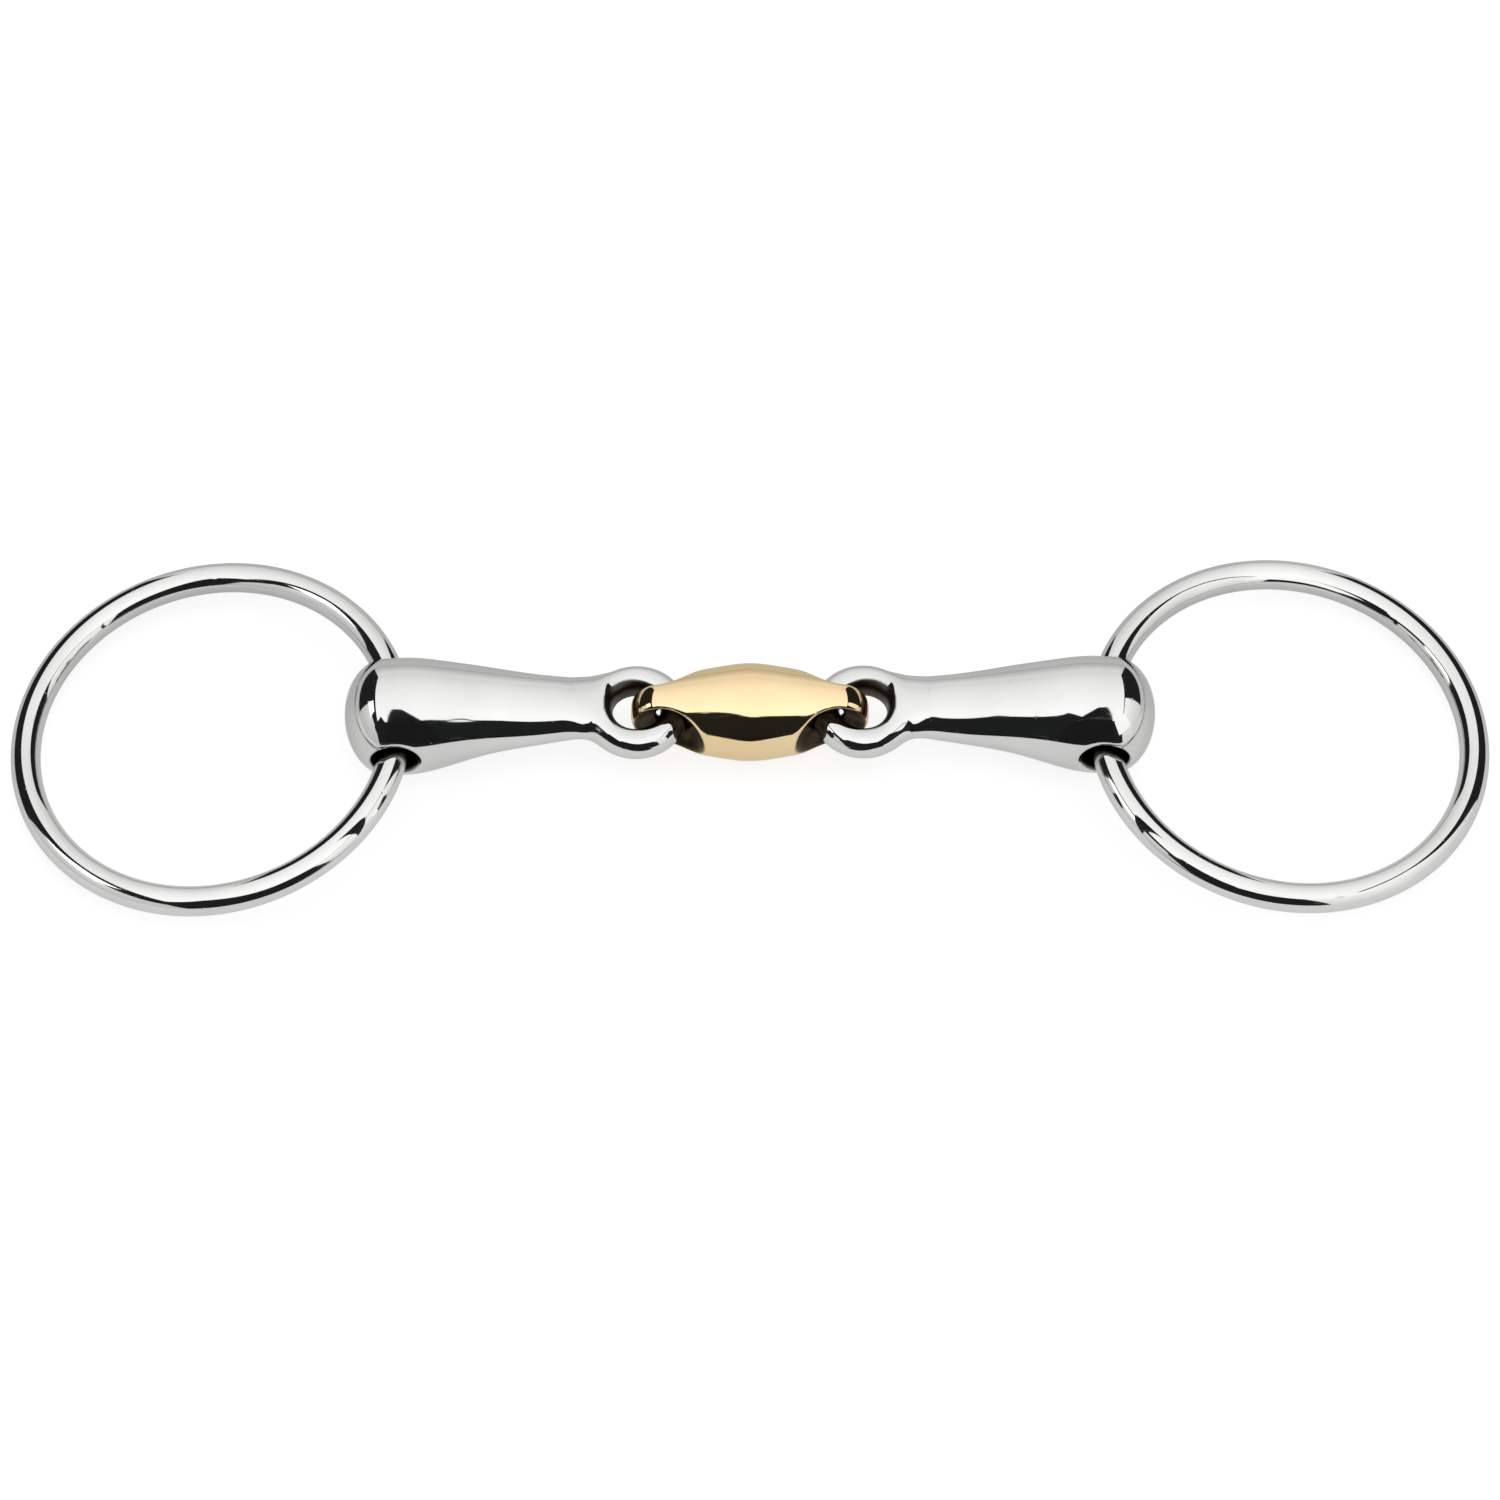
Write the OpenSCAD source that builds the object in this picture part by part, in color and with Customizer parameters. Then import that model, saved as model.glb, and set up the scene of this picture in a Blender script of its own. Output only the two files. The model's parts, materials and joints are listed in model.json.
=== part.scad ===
// Loose-ring, double-jointed snaffle bit, lying flat as it rests on a table.
// X runs along the mouthpiece, Z is up, and z = 0 is the surface that it rests on.
// The origin is midway between the two rings.

/* [Mouthpiece] */
// Mouth size, between the inner faces of the two rings when they stand upright
mouth_size = 137; // [125:0.5:150]
// Diameter of a barrel where the ring passes through it
barrel_d = 23.5; // [22:0.1:26]
// Diameter of a barrel at its neck, behind the eye
neck_d = 12.5; // [11:0.1:14]
// Metal left outside the ring bore, at the outer end of a barrel
end_wall = 5.2; // [5:0.1:8]
// Length of the domed outer end of a barrel
dome_l = 8.5; // [6:0.5:10]
// Angle between a barrel and the line through the two eyes
bow_angle = 3; // [0:0.5:5]

/* [Rings] */
// Inner diameter of a ring
ring_inner_d = 70; // [60:1:80]
// Diameter of the wire that a ring is made of
ring_wire_d = 6; // [5.5:0.1:7]
// Diameter of the bore that a ring runs through
bore_d = 9.2; // [9:0.1:10]
// Diameter of that bore at its flared mouths
bore_mouth_d = 10.6; // [10:0.1:11.5]

/* [Eyes] */
// Inner diameter of the eye at the inner end of a barrel
eye_inner_d = 9.8; // [9.6:0.1:10.4]
// Thickness of the eye
eye_wire_d = 5.4; // [5:0.1:5.6]
// Room between the eye and the channel that it runs in
eye_play = 0.9; // [0.6:0.1:1]

/* [Centre link] */
// Length of the link
link_l = 47.7; // [46:0.1:50]
// Diameter of the link at its middle
link_d = 19.7; // [18:0.1:21]
// Radius of the rounding at each end of the link
link_end_r = 5; // [4:0.5:5.5]
// Diameter of the round scoops in front of and behind each channel
scoop_d = 16.3; // [15:0.1:17]

/* [Hidden] */
$fn = 96;

// Ring, from its wire
ring_r = (ring_inner_d + ring_wire_d) / 2;
// Distance of the bore from the middle of the bit, measured along the barrel's line
bore_x = (mouth_size + ring_wire_d) / 2;
// The wire curves, so at the middle of its bore it lies this much nearer the mouth
wire_shift = 0.85;
ring_reach = ring_r - wire_shift;

// Height of the mouthpiece's centre line: the barrels rest on the table
axis_z = barrel_d / 2;
// Angle at which a ring's outer edge comes down to the table
ring_tilt = asin((axis_z - ring_wire_d / 2) / (ring_reach + ring_r));

// Eye: its centre line is a circle round a point just inside the link's end
eye_r = (eye_inner_d + eye_wire_d) / 2;
bar_overhang = 1.05;
eye_x = link_l / 2 - bar_overhang;

// A barrel's line crosses the line of the eyes here, so that the mouthpiece bows evenly
bow_x = 55;
// The line of the eyes, so that the rings' centres lie on y = 0
eye_y = (bore_x + ring_reach * cos(ring_tilt) - bow_x) * sin(bow_angle);

// Barrel outline: throat behind the eye, flare, straight stretch at the bore, and dome
throat_x = eye_x + eye_r - 0.8;
throat_r = 2.3;
neck_x = 35.5;
flare_end_x = 69.5;
end_x = bore_x + bore_d / 2 + end_wall;
dome_x = end_x - dome_l;
flare_start_slope = 0.113;
flare_start_pull = 22;
flare_end_pull = 7.5;

// Link outline: a straight taper each side of a soft crown
link_taper = 0.2;
link_crown = 0.8;
scoop_x = eye_x - 5.3;
scoop_y = 8.7;

STEEL = "silver";
GOLD = "gold";

// A point on a curve with four control points, at t from 0 to 1
function curve_point(a, b, c, d, t) =
    a * pow(1 - t, 3) + 3 * b * t * pow(1 - t, 2) + 3 * c * pow(t, 2) * (1 - t) + d * pow(t, 3);

// Each outline is a list of [radius, distance along the axis]
function throat_outline(steps) = [
    for (i = [0 : steps - 1])
        let (t = i / steps)
        [throat_r + (neck_d / 2 - throat_r) * sin(90 * t), throat_x + (neck_x - throat_x) * t]
];

function flare_outline(steps) = [
    for (i = [0 : steps])
        curve_point(
            [neck_d / 2, neck_x],
            [neck_d / 2 + flare_start_slope * flare_start_pull, neck_x + flare_start_pull],
            [barrel_d / 2, flare_end_x - flare_end_pull],
            [barrel_d / 2, flare_end_x],
            i / steps
        )
];

function dome_outline(steps) = [
    for (i = [0 : steps])
        let (a = 90 * i / steps)
        [barrel_d / 2 * cos(a), dome_x + dome_l * sin(a)]
];

function link_radius(x) =
    link_d / 2 + link_crown - sqrt(pow(link_crown, 2) + pow(link_taper * x, 2));

function link_side_outline(steps) =
    let (x_end = link_l / 2 - link_end_r)
    [for (i = [-steps : steps]) [link_radius(x_end * i / steps), x_end * i / steps]];

function link_end_outline(steps) =
    let (x_end = link_l / 2 - link_end_r, r_end = link_radius(x_end) - link_end_r)
    [for (i = [1 : steps]) let (a = 90 * i / steps)
        [r_end + link_end_r * cos(a), x_end + link_end_r * sin(a)]];

// Turns a polygon of [radius, distance] round the X axis
module turned(outline) {
    rotate([0, 90, 0])
        rotate_extrude()
            polygon(outline);
}

module torus(r, wire_r) {
    rotate_extrude()
        translate([r, 0])
            circle(wire_r);
}

// Puts its children on the barrel's line of the right-hand side, which bows away from the eyes
module on_barrel_line() {
    translate([bow_x, eye_y, axis_z])
        rotate([0, 0, -bow_angle])
            translate([-bow_x, 0, 0])
                children();
}

module barrel() {
    turned(concat(
        [[0, throat_x]],
        throat_outline(8),
        flare_outline(16),
        dome_outline(10)
    ));
}

// Bore for the ring, with a flared mouth on each side
module ring_bore() {
    flare_l = 2.6;
    for (side = [0, 180])
        translate([bore_x, 0, 0])
            rotate([90, 0, side]) {
                cylinder(d = bore_d, h = barrel_d / 2 + 1);
                translate([0, 0, barrel_d / 2 - flare_l])
                    cylinder(d1 = bore_d, d2 = bore_mouth_d, h = flare_l + 0.01);
            }
}

module cannon() {
    color(STEEL)
        difference() {
            union() {
                on_barrel_line()
                    barrel();
                translate([eye_x, eye_y, axis_z])
                    torus(eye_r, eye_wire_d / 2);
            }
            on_barrel_line()
                ring_bore();
        }
}

module ring() {
    color(STEEL)
        on_barrel_line()
            translate([bore_x, 0, 0])
                rotate([0, ring_tilt, 0])
                    translate([ring_reach, 0, 0])
                        torus(ring_r, ring_wire_d / 2);
}

module right_cannon() {
    cannon();
}

module left_cannon() {
    mirror([1, 0, 0])
        cannon();
}

module right_ring() {
    ring();
}

module left_ring() {
    mirror([1, 0, 0])
        ring();
}

module link_body() {
    end = link_end_outline(8);
    far_end = [for (i = [len(end) - 1 : -1 : 0]) [end[i][0], -end[i][1]]];
    turned(concat([[0, -link_l / 2]], far_end, link_side_outline(12), end, [[0, link_l / 2]]));
}

// The eye's channel, and the scoops that open it to the front and the back
module eye_room() {
    translate([eye_x, 0, 0])
        torus(eye_r, eye_wire_d / 2 + eye_play);
    for (y = [-scoop_y, scoop_y])
        translate([scoop_x, y, 0])
            sphere(d = scoop_d);
}

module centre_link() {
    color(GOLD)
        translate([0, eye_y, axis_z])
            difference() {
                link_body();
                eye_room();
                mirror([1, 0, 0])
                    eye_room();
            }
}

left_ring();
left_cannon();
centre_link();
right_cannon();
right_ring();
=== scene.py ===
"""Looks of a loose-ring, double-jointed snaffle bit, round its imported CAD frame.

Every piece is one polished casting or wire. A casting's shape is written as a field, negative
inside the metal, and meshed here. Fields work in millimetres, and objects are in metres.
"""

import json
import math

import bpy
import numpy as np
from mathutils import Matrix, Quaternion, Vector


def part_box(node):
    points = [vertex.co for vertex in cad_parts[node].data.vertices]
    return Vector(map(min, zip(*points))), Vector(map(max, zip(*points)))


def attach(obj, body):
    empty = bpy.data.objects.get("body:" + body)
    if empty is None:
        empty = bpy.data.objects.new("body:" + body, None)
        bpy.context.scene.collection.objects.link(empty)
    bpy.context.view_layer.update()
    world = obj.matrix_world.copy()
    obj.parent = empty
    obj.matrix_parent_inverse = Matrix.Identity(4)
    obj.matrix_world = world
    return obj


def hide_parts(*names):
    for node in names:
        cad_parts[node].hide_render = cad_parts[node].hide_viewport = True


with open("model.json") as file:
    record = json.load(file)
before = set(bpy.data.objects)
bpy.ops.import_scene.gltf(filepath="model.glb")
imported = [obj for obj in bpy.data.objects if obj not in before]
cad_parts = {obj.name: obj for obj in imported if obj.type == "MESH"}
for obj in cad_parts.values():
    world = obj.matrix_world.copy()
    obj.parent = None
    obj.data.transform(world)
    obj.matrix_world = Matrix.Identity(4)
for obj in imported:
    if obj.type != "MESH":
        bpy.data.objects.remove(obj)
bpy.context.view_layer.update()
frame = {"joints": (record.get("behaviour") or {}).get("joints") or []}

MM = 0.001


# ---------------------------------------------------------------- places, from the frame

def in_mm(point):
    return np.array(point, float) / MM


def box_in_mm(node):
    low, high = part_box(node)
    return in_mm(low), in_mm(high)


JOINTS = {joint["name"]: joint for joint in frame["joints"]}

EYE = in_mm(JOINTS["right_cannon_bend"]["pos_m"])
BORE = in_mm(JOINTS["right_ring_swing"]["pos_m"])
RING_LOW, RING_HIGH = box_in_mm("right_ring")
CANNON_HIGH = box_in_mm("right_cannon")[1]
LINK_HIGH = box_in_mm("centre_link")[1]

# The right-hand barrel's own axes: across it, along the bore, and out along the barrel
ACROSS = np.abs(JOINTS["right_ring_swing"]["axis"])
ALONG = np.array([ACROSS[1], -ACROSS[0], 0.0])

# ---------------------------------------------------------------- sizes, in millimetres

BARREL_R = EYE[2]
NECK_R = 6.25
NECK_S = 35.5
FLARE_END_S = 69.5
FLARE_START_PULL = (22.0, 2.5)
FLARE_END_PULL = 7.5
BORE_S = 71.5
BORE_R = 4.6
END_WALL = 5.2
DOME_L = 8.5
DOME_S = BORE_S + BORE_R + END_WALL - DOME_L
BORE_FLARE = 0.7
BORE_FLARE_L = 2.6
THROAT_S = 29.2
THROAT_EDGE = 1.5
BORE_EDGE = 1.6

# How much wider than high a barrel is: the gain, and the stretch over which it fades out
NECK_OVAL = (0.34, 37, 66)
THROAT_OVAL = (0.7, 28, 39)
# The share of that gain that makes the barrel lower. The rest makes it wider
OVAL_SHARE = 0.726

# Sideways bow of a barrel's centre line: how much, where along it, and how far it reaches
BOW = (0.5, 53, 9)

EYE_R = 7.6
EYE_WIRE_R = 2.75
EYE_HALF_HEIGHT = 3.2
EYE_SQUARENESS = 2.8
NECK_BLEND = 3.4
# Where the painted shade on the eye's wall ends: its radius, its shift towards the neck, and its fade
WALL_R = 5.85
WALL_SHIFT = 0.5
WALL_FADE = 0.35

WIRE_R = 3.0
RING_R = (RING_HIGH[1] - RING_LOW[1]) / 2 - WIRE_R
# The wire stays this much inside the CAD's outline, to leave room for the weld's step
RING_SLACK = 0.02

# The wire's weld: a shallow seam, where the two ends are a hair's breadth out of line
SEAM_HALF_WIDTH = 0.8
SEAM_DEPTH = 0.03
STEP_HALF_WIDTH = 0.7
STEP_FADE = 9
STEP_OUT = 0.03
STEP_UP = 0.04

LINK_HALF = LINK_HIGH[0]
LINK_R = LINK_HIGH[2] - EYE[2]
LINK_TAPER = 0.2
LINK_CROWN = 0.8
LINK_END_R = 5.0
LINK_EDGE = 1.7
CHANNEL_R = 3.6
CHANNEL_BLEND = 0.9
SCOOP_R = 8.15
SCOOP_X = EYE[0] - 5.3
SCOOP_Y = 8.7

# Distances over which the link's painted shade ends: at the edge of a channel or scoop, and away from the
# channels
PAINTED_SHADE_EDGE = (0.05, 0.6)
PAINTED_SHADE_FADE = (3, 9)


# ---------------------------------------------------------------- meshing of a field

def surface_net(field, low, high, step):
    """Points and outward quads near field's zero surface, a point for each grid cell it crosses."""
    axes = [np.arange(a - 2 * step, b + 3 * step, step) for a, b in zip(low, high)]
    grid = np.stack(np.meshgrid(*axes, indexing="ij"), -1)
    values = field(grid.reshape(-1, 3)).reshape(grid.shape[:3])
    cells = np.array(values.shape) - 1
    total = np.zeros((*cells, 3))
    count = np.zeros(cells)
    for corner in np.ndindex(2, 2, 2):
        for axis in range(3):
            if corner[axis]:
                continue
            start = np.array(corner, float)
            end_corner = tuple(c + (i == axis) for i, c in enumerate(corner))
            va = values[tuple(slice(c, c + n) for c, n in zip(corner, cells))]
            vb = values[tuple(slice(c, c + n) for c, n in zip(end_corner, cells))]
            crossed = (va < 0) != (vb < 0)
            share = va[crossed] / (va[crossed] - vb[crossed])
            point = np.tile(start, (len(share), 1))
            point[:, axis] += share
            total[crossed] += point
            count[crossed] += 1
    active = count > 0
    index = np.full(cells, -1)
    index[active] = np.arange(active.sum())
    points = (np.argwhere(active) + total[active] / count[active][:, None]) * step
    points += [a[0] for a in axes]
    inside = values < 0
    quads = []
    for axis in range(3):
        u, v = (axis + 1) % 3, (axis + 2) % 3
        lower = np.take(inside, range(cells[axis]), axis)
        upper = np.take(inside, range(1, cells[axis] + 1), axis)
        at = np.argwhere(lower != upper)
        at = at[(at[:, u] > 0) & (at[:, v] > 0) & (at[:, u] < cells[u]) & (at[:, v] < cells[v])]
        around = []
        for du, dv in ((0, 0), (1, 0), (1, 1), (0, 1)):
            cell = at.copy()
            cell[:, u] -= du
            cell[:, v] -= dv
            around.append(index[tuple(cell.T)])
        quad = np.stack(around, 1)
        outward = lower[tuple(at.T)]
        quad[~outward] = quad[~outward][:, ::-1]
        quads.append(quad)
    return points, np.concatenate(quads)


def slope(field, points, reach=0.02):
    """Gradient of field at points."""
    result = np.empty_like(points)
    for axis in range(3):
        shift = np.zeros(3)
        shift[axis] = reach
        result[:, axis] = (field(points + shift) - field(points - shift)) / (2 * reach)
    return result


def settle(field, points, step, rounds=6):
    """Moves points on to field's zero surface."""
    for _ in range(rounds):
        gradient = slope(field, points)
        size = np.maximum((gradient**2).sum(1), 0.05)
        move = -(field(points) / size)[:, None] * gradient
        length = np.linalg.norm(move, axis=1)[:, None]
        points = points + move * np.minimum(1, step / 2 / np.maximum(length, 1e-9))
    return points


def even_out(points, quads):
    """Moves each point half-way to the middle of its neighbours."""
    total = np.zeros_like(points)
    count = np.zeros(len(points))
    for a in range(4):
        for b in ((a + 1) % 4, (a + 3) % 4):
            np.add.at(total, quads[:, a], points[quads[:, b]])
            np.add.at(count, quads[:, a], 1)
    return (points + total / count[:, None]) / 2


def casting(name, field, painted_shade_mask, low, high, step, mirrored=False):
    """Object with the mesh of field, with its exact normals. mirrored swaps left and right.

    recess gives how much painted shade darkens a point in the hollows, from 0 to 1.
    """
    points, quads = surface_net(field, low, high, step)
    for _ in range(2):
        points = settle(field, even_out(points, quads), step)
    normals = slope(field, points)
    normals /= np.linalg.norm(normals, axis=1)[:, None]
    painted_shade = painted_shade_mask(points)
    if mirrored:
        points[:, 0] *= -1
        normals[:, 0] *= -1
        quads = quads[:, ::-1]
    made = mesh_object(name, points, quads, normals)
    made.data.attributes.new("painted_shade_mask", "FLOAT", "POINT").data.foreach_set("value", painted_shade)
    return made


def mesh_object(name, points, quads, normals):
    mesh = bpy.data.meshes.new(name)
    mesh.from_pydata((points * MM).tolist(), [], quads.tolist())
    mesh.shade_smooth()
    mesh.normals_split_custom_set_from_vertices(normals.tolist())
    made = bpy.data.objects.new(name, mesh)
    bpy.context.scene.collection.objects.link(made)
    return made


# ---------------------------------------------------------------- fields

def joined(a, b, blend):
    """Union of two fields, with a fillet about blend wide."""
    h = np.maximum(blend - np.abs(a - b), 0) / blend
    return np.minimum(a, b) - h**3 * blend / 6


def cut(a, b, blend):
    """Field a with b taken away, and the edge rounded."""
    return -joined(-a, b, blend)


def torus_field(x, y, z, ring_r, wire_r):
    return np.hypot(np.hypot(x, y) - ring_r, z) - wire_r


def eye_field(x, y, z):
    """The eye: a ring whose section is an upright oval, squarer towards the hole."""
    out = np.hypot(x, y) - EYE_R
    across = np.abs(out) / EYE_WIRE_R
    up = np.abs(z) / EYE_HALF_HEIGHT
    power = np.where(out > 0, 2, EYE_SQUARENESS)
    return ((across**power + up**power) ** (1 / power) - 1) * EYE_WIRE_R


def curve(a, b, c, d, t):
    return a * (1 - t) ** 3 + 3 * b * t * (1 - t) ** 2 + 3 * c * t**2 * (1 - t) + d * t**3


FLARE_T = np.linspace(0, 1, 4000)
FLARE_S = curve(
    NECK_S, NECK_S + FLARE_START_PULL[0], FLARE_END_S - FLARE_END_PULL, FLARE_END_S, FLARE_T
)
FLARE_R = curve(NECK_R, NECK_R + FLARE_START_PULL[1], BARREL_R, BARREL_R, FLARE_T)


def smooth_share(value, start, end):
    """0 before start, 1 after end, and smooth between them."""
    t = np.clip((value - start) / (end - start), 0, 1)
    return t * t * t * (t * (6 * t - 15) + 10)


def barrel_field(s, across, up):
    """A turned barrel, domed at its outer end and oval at its neck, where it is wider than high."""
    across = across - BOW[0] * np.exp(-(((s - BOW[1]) / BOW[2]) ** 2))
    radius = np.interp(s, FLARE_S, FLARE_R)
    oval = 1
    for gain, start, end in (NECK_OVAL, THROAT_OVAL):
        oval = oval + gain * (1 - smooth_share(s, start, end))
    wide = radius * oval / np.sqrt(OVAL_SHARE * oval**2 + (1 - OVAL_SHARE))
    high = wide / oval
    dome = np.maximum(s - DOME_S, 0) / DOME_L
    share = np.sqrt((across / wide) ** 2 + (up / high) ** 2 + dome**2) + 1e-9
    steep = np.sqrt((across / wide**2) ** 2 + (up / high**2) ** 2 + (dome / DOME_L) ** 2) + 1e-9
    side = (share - 1) * share / steep
    return cut(side, s - THROAT_S, THROAT_EDGE)


def cannon_field(points):
    """A cannon of the right-hand side: the eye, the barrel and the ring's bore."""
    x, y, z = points.T
    from_bore = points - BORE
    s = from_bore @ ALONG + BORE_S
    across = from_bore @ ACROSS
    up = from_bore[:, 2]
    eye = eye_field(x - EYE[0], y - EYE[1], z - EYE[2])
    body = joined(barrel_field(s, across, up), eye, NECK_BLEND)
    flare = BORE_FLARE * smooth_share(np.abs(across), BARREL_R - BORE_FLARE_L, BARREL_R)
    bore = np.hypot(s - BORE_S, up) - BORE_R - flare
    return cut(body, bore, BORE_EDGE)


def cannon_painted_shade(points):
    """Painted shade on the wall of the eye, most of all towards the neck, and on the inside of the bore.
    """
    x, y, z = (points - EYE).T
    from_wall = np.hypot(x - WALL_SHIFT, y)
    from_bore = points - BORE
    bore = np.hypot(from_bore @ ALONG, from_bore[:, 2])
    wall = 1 - smooth_share(from_wall, WALL_R, WALL_R + WALL_FADE)
    return np.maximum(wall, 1 - smooth_share(bore, BORE_R + 0.1, BORE_R + BORE_FLARE))


def link_parts(points):
    """The link's turned body, its channels and its scoops, as fields."""
    x = np.abs(points[:, 0])
    y = np.abs(points[:, 1] - EYE[1])
    z = points[:, 2] - EYE[2]
    crown = np.sqrt(LINK_CROWN**2 + (LINK_TAPER * x) ** 2)
    side = (np.hypot(y, z) - LINK_R - LINK_CROWN + crown) / math.hypot(1, LINK_TAPER)
    end = x - LINK_HALF
    corner = np.hypot(np.maximum(side + LINK_END_R, 0), np.maximum(end + LINK_END_R, 0))
    body = np.minimum(np.maximum(side, end) + LINK_END_R, 0) + corner - LINK_END_R
    channel = torus_field(x - EYE[0], y, z, EYE_R, CHANNEL_R)
    scoop = np.sqrt((x - SCOOP_X) ** 2 + (y - SCOOP_Y) ** 2 + z**2) - SCOOP_R
    return body, channel, scoop


def link_field(points):
    """The centre link, with a channel for each eye and a scoop in front and behind."""
    body, channel, scoop = link_parts(points)
    return cut(body, joined(channel, scoop, CHANNEL_BLEND), LINK_EDGE)


def link_painted_shade(points):
    """Painted shade in the channels, and in the scoops less and less away from them."""
    body, channel, scoop = link_parts(points)
    painted_shade = 1 - smooth_share(np.minimum(channel, scoop), *PAINTED_SHADE_EDGE)
    return painted_shade * (1 - smooth_share(channel, *PAINTED_SHADE_FADE))


# ---------------------------------------------------------------- rings

def ring_points(side, turn, around, weld):
    """Points of a ring's wire. turn goes round the ring, and around goes round the wire.

    weld is the turn where the wire's ends meet.
    """
    centre = (RING_LOW + RING_HIGH) / 2
    centre = centre * [side, 1, 1]
    pin = BORE * [side, 1, 1]
    across = ACROSS * [side, 1, 1]
    out = centre - pin
    out /= np.linalg.norm(out)
    normal = np.cross(out, across)
    normal /= np.linalg.norm(normal)
    arc = (np.mod(turn - weld + math.pi, 2 * math.pi) - math.pi) * RING_R
    seam = np.exp(-((arc / SEAM_HALF_WIDTH) ** 2))
    step = np.tanh(arc / STEP_HALF_WIDTH) * np.exp(-np.abs(arc) / STEP_FADE)
    radial = out * np.cos(turn)[:, None] + across * np.sin(turn)[:, None]
    wire = WIRE_R - SEAM_DEPTH * seam
    reach = RING_R - RING_SLACK + STEP_OUT * step + wire * np.cos(around)
    lift = STEP_UP * step + wire * np.sin(around)
    return centre + radial * reach[:, None] + normal * lift[:, None]


def ring_object(name, side, weld, turns=720, sides=72):
    """A ring's wire, meshed in turns steps round the ring and sides steps round the wire."""
    i, j = np.meshgrid(np.arange(turns), np.arange(sides), indexing="ij")
    turn = (i * 2 * math.pi / turns).ravel()
    around = (j * 2 * math.pi / sides).ravel()
    points = ring_points(side, turn, around, weld)
    step = 1e-4
    ahead = ring_points(side, turn + step, around, weld)
    behind = ring_points(side, turn - step, around, weld)
    above = ring_points(side, turn, around + step, weld)
    under = ring_points(side, turn, around - step, weld)
    normals = np.cross(ahead - behind, above - under)
    normals /= np.linalg.norm(normals, axis=1)[:, None]
    from_centre = points - (RING_LOW + RING_HIGH) / 2 * [side, 1, 1]
    furthest = np.argmax(np.linalg.norm(from_centre, axis=1))
    outward = np.sign((normals * from_centre).sum(1)[furthest])
    normals *= outward
    i2, j2 = (i + 1) % turns, (j + 1) % sides
    quads = np.stack([i * sides + j, i2 * sides + j, i2 * sides + j2, i * sides + j2], -1)
    quads = quads.reshape(-1, 4)
    if outward < 0:
        quads = quads[:, ::-1]
    return mesh_object(name, points, quads, normals)


# ---------------------------------------------------------------- materials

def new_material(name):
    material = bpy.data.materials.new(name)
    material.use_nodes = True
    tree = material.node_tree
    tree.nodes.clear()
    output = tree.nodes.new("ShaderNodeOutputMaterial")
    return material, tree, output


def noise(tree, vector, scale, detail=2.0, roughness=0.5):
    node = tree.nodes.new("ShaderNodeTexNoise")
    node.inputs["Scale"].default_value = scale
    node.inputs["Detail"].default_value = detail
    node.inputs["Roughness"].default_value = roughness
    tree.links.new(vector, node.inputs["Vector"])
    return node.outputs["Fac"]


def stretched(tree, vector, scale, turn):
    node = tree.nodes.new("ShaderNodeMapping")
    node.inputs["Scale"].default_value = scale
    node.inputs["Rotation"].default_value = turn
    tree.links.new(vector, node.inputs["Vector"])
    return node.outputs["Vector"]


def ramp(tree, value, stops):
    """Colour for value, between two stops, which are (place, colour)."""
    node = tree.nodes.new("ShaderNodeValToRGB")
    for element, (place, colour) in zip(node.color_ramp.elements, stops):
        element.position = place
        element.color = (*colour, 1)
    tree.links.new(value, node.inputs["Fac"])
    return node.outputs["Color"]


def spread(tree, value, low, high, to_low, to_high):
    node = tree.nodes.new("ShaderNodeMapRange")
    ends = {"From Min": low, "From Max": high, "To Min": to_low, "To Max": to_high}
    for socket, number in ends.items():
        node.inputs[socket].default_value = number
    tree.links.new(value, node.inputs["Value"])
    return node.outputs["Result"]


def combined(tree, operation, a, b):
    node = tree.nodes.new("ShaderNodeMath")
    node.operation = operation
    for socket, value in zip(node.inputs, (a, b)):
        if isinstance(value, (int, float)):
            socket.default_value = value
        else:
            tree.links.new(value, socket)
    return node.outputs[0]


def bump(tree, height, distance, strength, normal=None):
    node = tree.nodes.new("ShaderNodeBump")
    node.inputs["Distance"].default_value = distance
    node.inputs["Strength"].default_value = strength
    tree.links.new(height, node.inputs["Height"])
    if normal is not None:
        tree.links.new(normal, node.inputs["Normal"])
    return node.outputs["Normal"]


def mixed(tree, share, a, b):
    """Colour a, or b where share is 1."""
    node = tree.nodes.new("ShaderNodeMix")
    node.data_type = "RGBA"
    tree.links.new(share, node.inputs["Factor"])
    tree.links.new(a, node.inputs["A"])
    node.inputs["B"].default_value = (*b, 1)
    return node.outputs["Result"]


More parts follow.
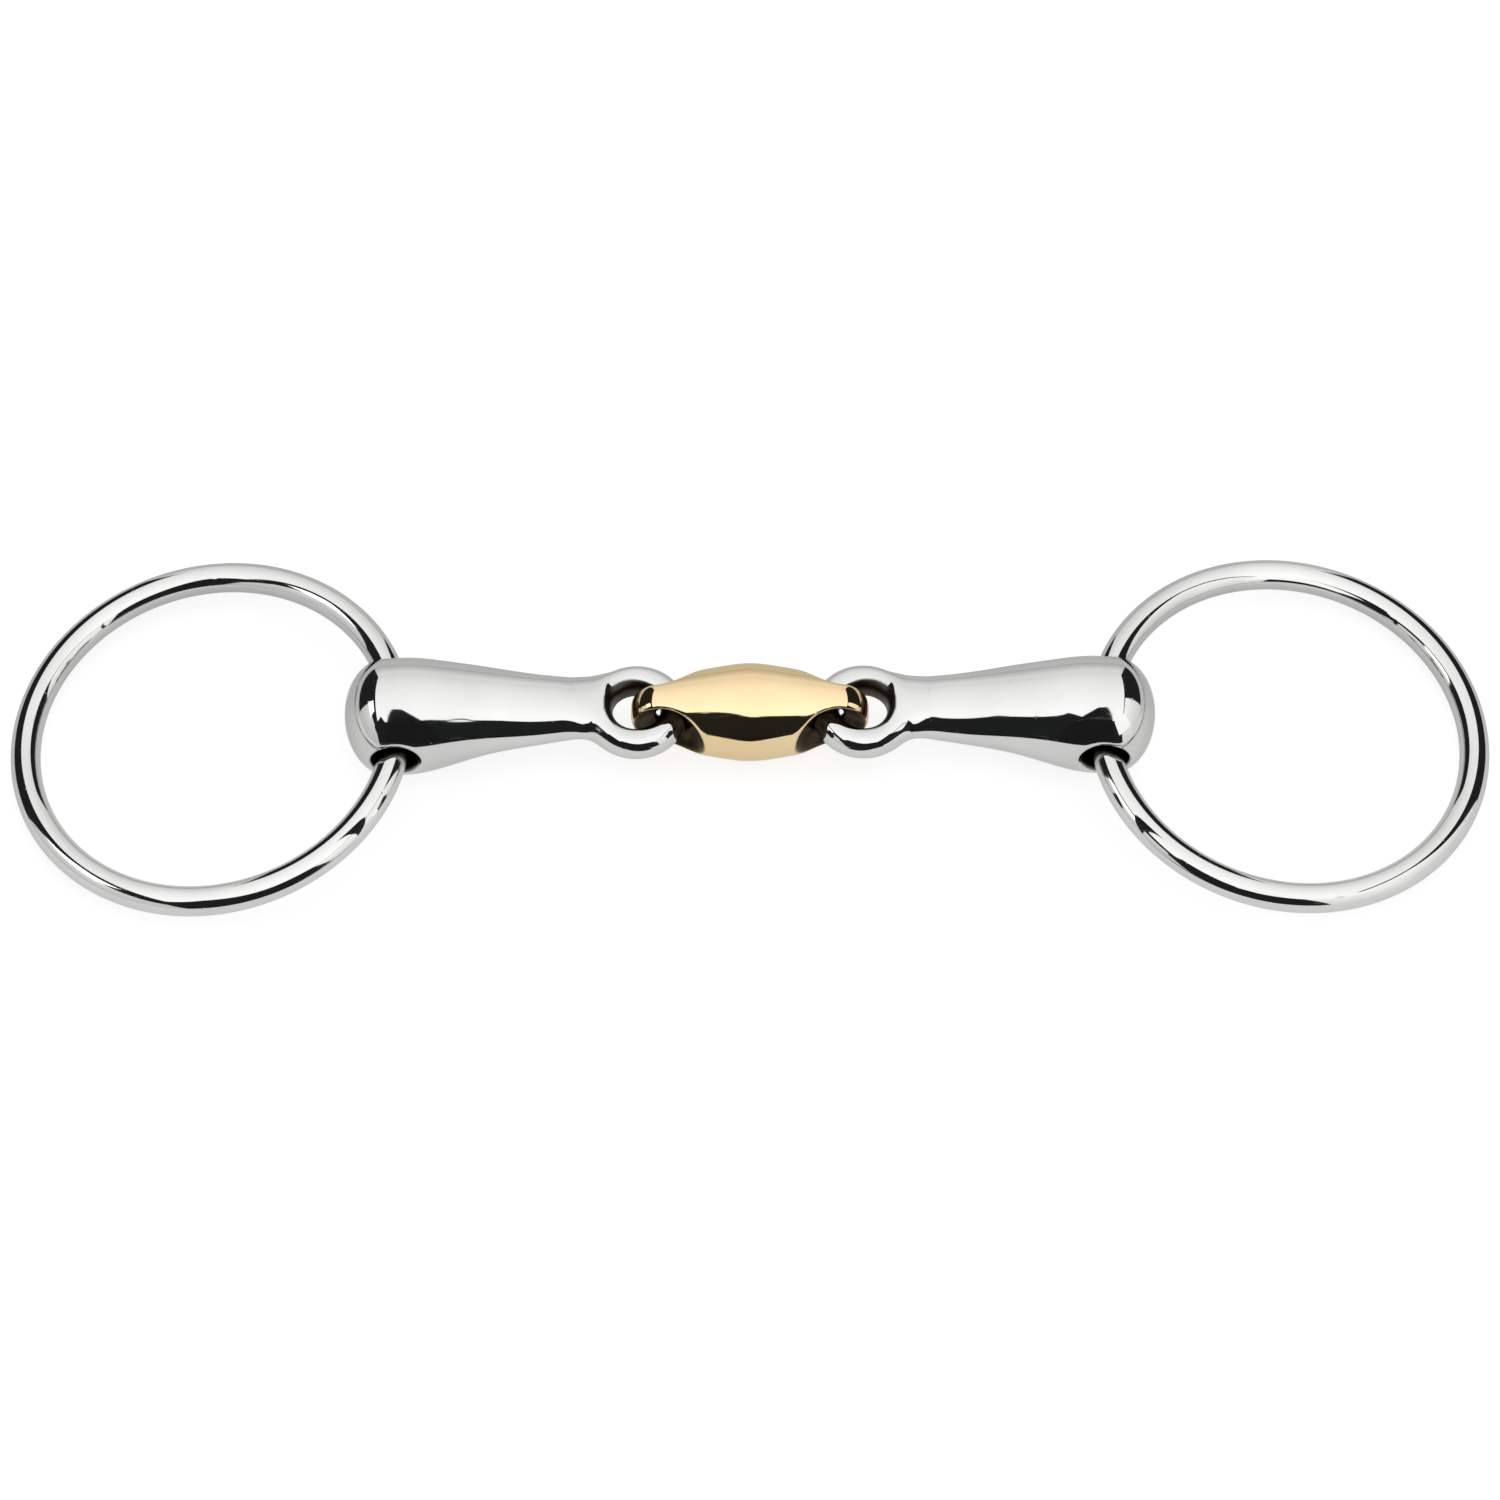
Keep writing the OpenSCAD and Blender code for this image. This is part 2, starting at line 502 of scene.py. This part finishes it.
def polished_metal(name, light, dark, painted_shade_colour, roughness, edge_tint):
    """Mirror-polished metal: waviness from buffing, hairline scratches, pits and dull smudges.

    light and dark are its cloudy base colours, and tarnish is the dark colour of the painted shade in its
    hollows.
    """
    material, tree, output = new_material(name)
    shader = tree.nodes.new("ShaderNodeBsdfPrincipled")
    shader.inputs["Metallic"].default_value = 1.0
    shader.inputs["Specular Tint"].default_value = (*edge_tint, 1)
    tree.links.new(shader.outputs[0], output.inputs["Surface"])
    coordinates = tree.nodes.new("ShaderNodeTexCoord").outputs["Object"]

    cloud = noise(tree, coordinates, 55, 4)
    colour = ramp(tree, cloud, ((0.3, dark), (0.7, light)))
    # Painted shade: the hollows' mask, in slightly uneven patches, blends the base colour towards the
    # dark colour
    attribute = tree.nodes.new("ShaderNodeAttribute")
    attribute.attribute_name = "painted_shade_mask"
    patchy = spread(tree, noise(tree, coordinates, 400, 3), 0.35, 0.65, 0.95, 1.0)
    painted_shade = combined(tree, "MULTIPLY", attribute.outputs["Fac"], patchy)
    tree.links.new(mixed(tree, painted_shade, colour, painted_shade_colour), shader.inputs["Base Color"])

    scratches = None
    for turn, scale in (((0.3, 0.5, 0.4), 1.0), ((1.1, 0.2, 2.0), 1.3), ((0.4, 2.3, 1.2), 0.8)):
        stretch = (60 * scale, 2600 * scale, 900 * scale)
        hair = noise(tree, stretched(tree, coordinates, stretch, turn), 1, 1)
        line = spread(tree, hair, 0.70, 0.78, 0, 1)
        scratches = line if scratches is None else combined(tree, "MAXIMUM", scratches, line)
    pits = spread(tree, noise(tree, coordinates, 1100, 1), 0.735, 0.79, 0, 1)
    smudge = spread(tree, noise(tree, coordinates, 90, 5, 0.65), 0.45, 0.75, 0, 1)
    wear = combined(tree, "MULTIPLY", scratches, smudge)

    gloss = spread(tree, smudge, 0, 1, roughness, roughness + 0.05)
    gloss = combined(tree, "ADD", gloss, combined(tree, "MULTIPLY", scratches, 0.10))
    gloss = combined(tree, "ADD", gloss, combined(tree, "MULTIPLY", painted_shade, 0.3))
    tree.links.new(gloss, shader.inputs["Roughness"])

    wave = bump(tree, noise(tree, coordinates, 140, 1), 0.00004, 0.12)
    lines = bump(tree, wear, -0.00001, 0.25, wave)
    holes = bump(tree, pits, -0.00002, 0.4, lines)
    tree.links.new(holes, shader.inputs["Normal"])
    return material


# ---------------------------------------------------------------- the object

STEEL = polished_metal(
    "polished_steel",
    light=(0.68, 0.68, 0.67),
    dark=(0.62, 0.62, 0.61),
    # The dark colour of the painted shade in the steel's hollows
    painted_shade_colour=(0.045, 0.038, 0.03),
    roughness=0.045,
    edge_tint=(0.8, 0.8, 0.8),
)
GOLD = polished_metal(
    "golden_alloy",
    light=(0.86, 0.68, 0.42),
    dark=(0.80, 0.61, 0.35),
    # The dark colour of the painted shade in the link's hollows
    painted_shade_colour=(0.016, 0.012, 0.008),
    roughness=0.05,
    edge_tint=(0.9, 0.85, 0.75),
)


def finish_piece(piece, body, material):
    piece.data.materials.append(material)
    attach(piece, body)
    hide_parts(body)


# Boxes round the castings, for their grids, and the grids' cells
CANNON_LOW = (EYE[0] - EYE_R - EYE_WIRE_R, EYE[1] - 15, 0)
CANNON_TOP = (CANNON_HIGH[0] + 0.5, EYE[1] + 12, 2 * BARREL_R)
LINK_SIZE = np.array([LINK_HALF, LINK_R, LINK_R])
GRID = 0.35
LINK_GRID = 0.24

for side_name, mirrored in (("left", True), ("right", False)):
    cannon = casting(
        side_name + "_cannon_casting", cannon_field, cannon_painted_shade, CANNON_LOW, CANNON_TOP, GRID, mirrored
    )
    finish_piece(cannon, side_name + "_cannon", STEEL)

middle = np.array([0, EYE[1], EYE[2]])
link = casting(
    "centre_link_casting", link_field, link_painted_shade, middle - LINK_SIZE, middle + LINK_SIZE, LINK_GRID
)
finish_piece(link, "centre_link", GOLD)

for side_name, side, weld in (("left", -1, math.radians(93)), ("right", 1, math.radians(180))):
    ring = ring_object(side_name + "_ring_wire", side, weld)
    finish_piece(ring, side_name + "_ring", STEEL)


# ---------------------------------------------------------------- stage

def stage_panel(name, corners, material, seen_by=("glossy", "diffuse")):
    """A flat panel of the studio: its corners in metres, in order, and the rays that see it."""
    mesh = bpy.data.meshes.new(name)
    mesh.from_pydata(corners, [], [tuple(range(len(corners)))])
    panel = bpy.data.objects.new(name, mesh)
    bpy.context.scene.collection.objects.link(panel)
    mesh.materials.append(material)
    panel.visible_camera = "camera" in seen_by
    panel.visible_glossy = "glossy" in seen_by
    panel.visible_diffuse = "diffuse" in seen_by
    panel.visible_shadow = False


def glow(name, axis, start, end):
    """A lit panel. start and end are (place along axis in metres, brightness there)."""
    material, tree, output = new_material(name)
    shader = tree.nodes.new("ShaderNodeEmission")
    split = tree.nodes.new("ShaderNodeSeparateXYZ")
    tree.links.new(tree.nodes.new("ShaderNodeTexCoord").outputs["Object"], split.inputs[0])
    strength = spread(tree, split.outputs[axis], start[0], end[0], start[1], end[1])
    tree.links.new(strength, shader.inputs["Strength"])
    tree.links.new(shader.outputs[0], output.inputs["Surface"])
    return material


def floor_material(name, base, light):
    """A pale table that also glows. light makes the glow's strength from the place on the table."""
    material, tree, output = new_material(name)
    shader = tree.nodes.new("ShaderNodeBsdfPrincipled")
    shader.inputs["Base Color"].default_value = (base, base, base, 1)
    shader.inputs["Roughness"].default_value = 0.8
    shader.inputs["Specular IOR Level"].default_value = 0.1
    shader.inputs["Emission Color"].default_value = (1, 1, 1, 1)
    place = tree.nodes.new("ShaderNodeTexCoord").outputs["Object"]
    tree.links.new(light(tree, place), shader.inputs["Emission Strength"])
    tree.links.new(shader.outputs[0], output.inputs["Surface"])
    return material


def even_light(tree, place):
    """The floor that the camera sees, almost white to a long way off."""
    distance = tree.nodes.new("ShaderNodeVectorMath")
    distance.operation = "LENGTH"
    tree.links.new(place, distance.inputs[0])
    return spread(tree, distance.outputs["Value"], 0.5, 3.0, 0.78, 0.7)


def mirrored_light(tree, place):
    """The floor that the metal reflects, brighter in front."""
    split = tree.nodes.new("ShaderNodeSeparateXYZ")
    tree.links.new(place, split.inputs[0])
    return spread(tree, split.outputs["Y"], -0.02, 0.03, 0.25, 0.04)


# Half the floor's width, and the front end and the height of the floor that the metal reflects
FLOOR = 3.0
FRONT = -0.42
BELOW = -0.0005
stage_panel(
    "floor",
    [(-FLOOR, -FLOOR, 0), (FLOOR, -FLOOR, 0), (FLOOR, FLOOR, 0), (-FLOOR, FLOOR, 0)],
    floor_material("pale_floor", 0.32, even_light),
    ("camera", "diffuse"),
)
stage_panel(
    "mirrored_floor",
    [(-FLOOR, FRONT, BELOW), (FLOOR, FRONT, BELOW), (FLOOR, FLOOR, BELOW), (-FLOOR, FLOOR, BELOW)],
    floor_material("mirrored_floor", 0.66, mirrored_light),
    ("glossy",),
)
# A dark wedge over the reflected floor, in front of the bit: its height and its right-hand edge
DARK = -0.0003
DARK_EDGE = [(0.0, -0.064), (0.013, -0.07), (0.03, -0.095), (0.055, -0.15), (0.11, -0.3), (0.15, FRONT)]
stage_panel(
    "dark_front",
    [(x, y, DARK) for x, y in DARK_EDGE] + [(-x, y, DARK) for x, y in DARK_EDGE[:0:-1]],
    glow("front_dark", "Y", (-1, 0.015), (0, 0.015)),
    ("glossy",),
)

# Small dark flags in front of the necks, for their reflections
for name, side in (("left_flag", -1), ("right_flag", 1)):
    near = (0.045 * side, -0.041)
    far = (0.072 * side, -0.023)
    stage_panel(
        name,
        [(*near, 0.0145), (*far, 0.02), (*far, 0.09), (*near, 0.05)],
        glow(name + "_dark", "Y", (-1, 0.015), (0, 0.015)),
        ("glossy",),
    )

# The softboxes' height, the place of the one behind, and the front edge of the one overhead
TOP = 0.9
BACK = 1.3
FRONT_EDGE = [
    (-0.72, -0.78), (-0.52, -0.65), (-0.4, -0.53), (-0.3, -0.6), (-0.15, -0.75),
    (0.0, -0.83), (0.15, -0.84), (0.3, -0.79), (0.45, -0.79), (0.72, -0.9),
]
stage_panel(
    "overhead_softbox",
    [(x, y, TOP) for x, y in FRONT_EDGE] + [(0.61, BACK, TOP), (-0.61, BACK, TOP)],
    glow("overhead_light", "Y", (-0.4, 1.47), (BACK, 1.0)),
)
stage_panel(
    "back_softbox",
    [(-0.61, BACK, 0), (0.61, BACK, 0), (0.61, BACK, TOP), (-0.61, BACK, TOP)],
    glow("back_light", "Z", (0, 0.56), (0.6, 1.0)),
)
stage_panel(
    "right_softbox",
    [(1.1, 0.2, 0), (1.1, -1.0, 0), (0.75, -1.0, 0.9), (0.75, 0.1, 0.9)],
    glow("right_light", "Z", (0, 0.9), (0.9, 1.4)),
)
stage_panel(
    "left_softbox",
    [(-1.1, 0.1, 0), (-1.1, -1.0, 0), (-1.1, -1.0, 0.8), (-1.1, 0.1, 0.8)],
    glow("left_light", "Z", (0, 0.7), (0.8, 1.1)),
)
stage_panel(
    "right_card",
    [(0.22, -0.27, 0), (0.6, -0.27, 0), (0.6, -0.27, 0.3), (0.22, -0.27, 0.3)],
    glow("right_card_light", "Z", (0, 1.0), (0.3, 1.3)),
)
stage_panel(
    "right_near_card",
    [(0.073, -0.06, 0.075), (0.092, -0.06, 0.034), (0.165, -0.06, 0.047), (0.165, -0.06, 0.13)],
    glow("right_near_light", "Z", (0.03, 1.4), (0.13, 1.5)),
    ("glossy",),
)
stage_panel(
    "left_card",
    [(-0.217, -0.4, 0), (-0.319, -0.4, 0.168), (-0.75, -0.4, 0.506), (-0.75, -0.4, 0)],
    glow("left_card_light", "Z", (0, 0.75), (0.5, 1.0)),
)
stage_panel(
    "left_lamp",
    [(-0.84, -0.3, 0.5), (-0.84, 0.1, 0.5), (-0.84, 0.1, 0.88), (-0.84, -0.3, 0.88)],
    glow("lamp_light", "Z", (0.5, 2.5), (0.8, 2.5)),
)

# The room is pale to the camera and dark to everything else
world = bpy.data.worlds.new("studio")
world.use_nodes = True
room = world.node_tree
seen = room.nodes.new("ShaderNodeLightPath").outputs["Is Camera Ray"]
shade = room.nodes.new("ShaderNodeMix")
shade.data_type = "RGBA"
shade.inputs["A"].default_value = (0.018, 0.02, 0.02, 1)
shade.inputs["B"].default_value = (0.95, 0.95, 0.95, 1)
room.links.new(seen, shade.inputs["Factor"])
room.links.new(shade.outputs["Result"], room.nodes["Background"].inputs["Color"])
bpy.context.scene.world = world

# ---------------------------------------------------------------- camera

DISTANCE = 1.2
ELEVATION = math.radians(58.45)
ROLL = math.radians(0.16)
AIM = Vector((0, 0.0011, 0))

lens = bpy.data.cameras.new("camera")
lens.lens = 142.4
lens.sensor_width = 36
lens.clip_start = 0.05
lens.clip_end = 20
camera = bpy.data.objects.new("camera", lens)
back = Vector((0, -math.cos(ELEVATION), math.sin(ELEVATION)))
camera.location = AIM + back * DISTANCE
camera.rotation_mode = "QUATERNION"
camera.rotation_quaternion = (-back).to_track_quat("-Z", "Y") @ Quaternion((0, 0, 1), -ROLL)
bpy.context.scene.collection.objects.link(camera)
bpy.context.scene.camera = camera

bpy.context.scene.view_settings.view_transform = "Standard"
bpy.context.scene.view_settings.look = "None"
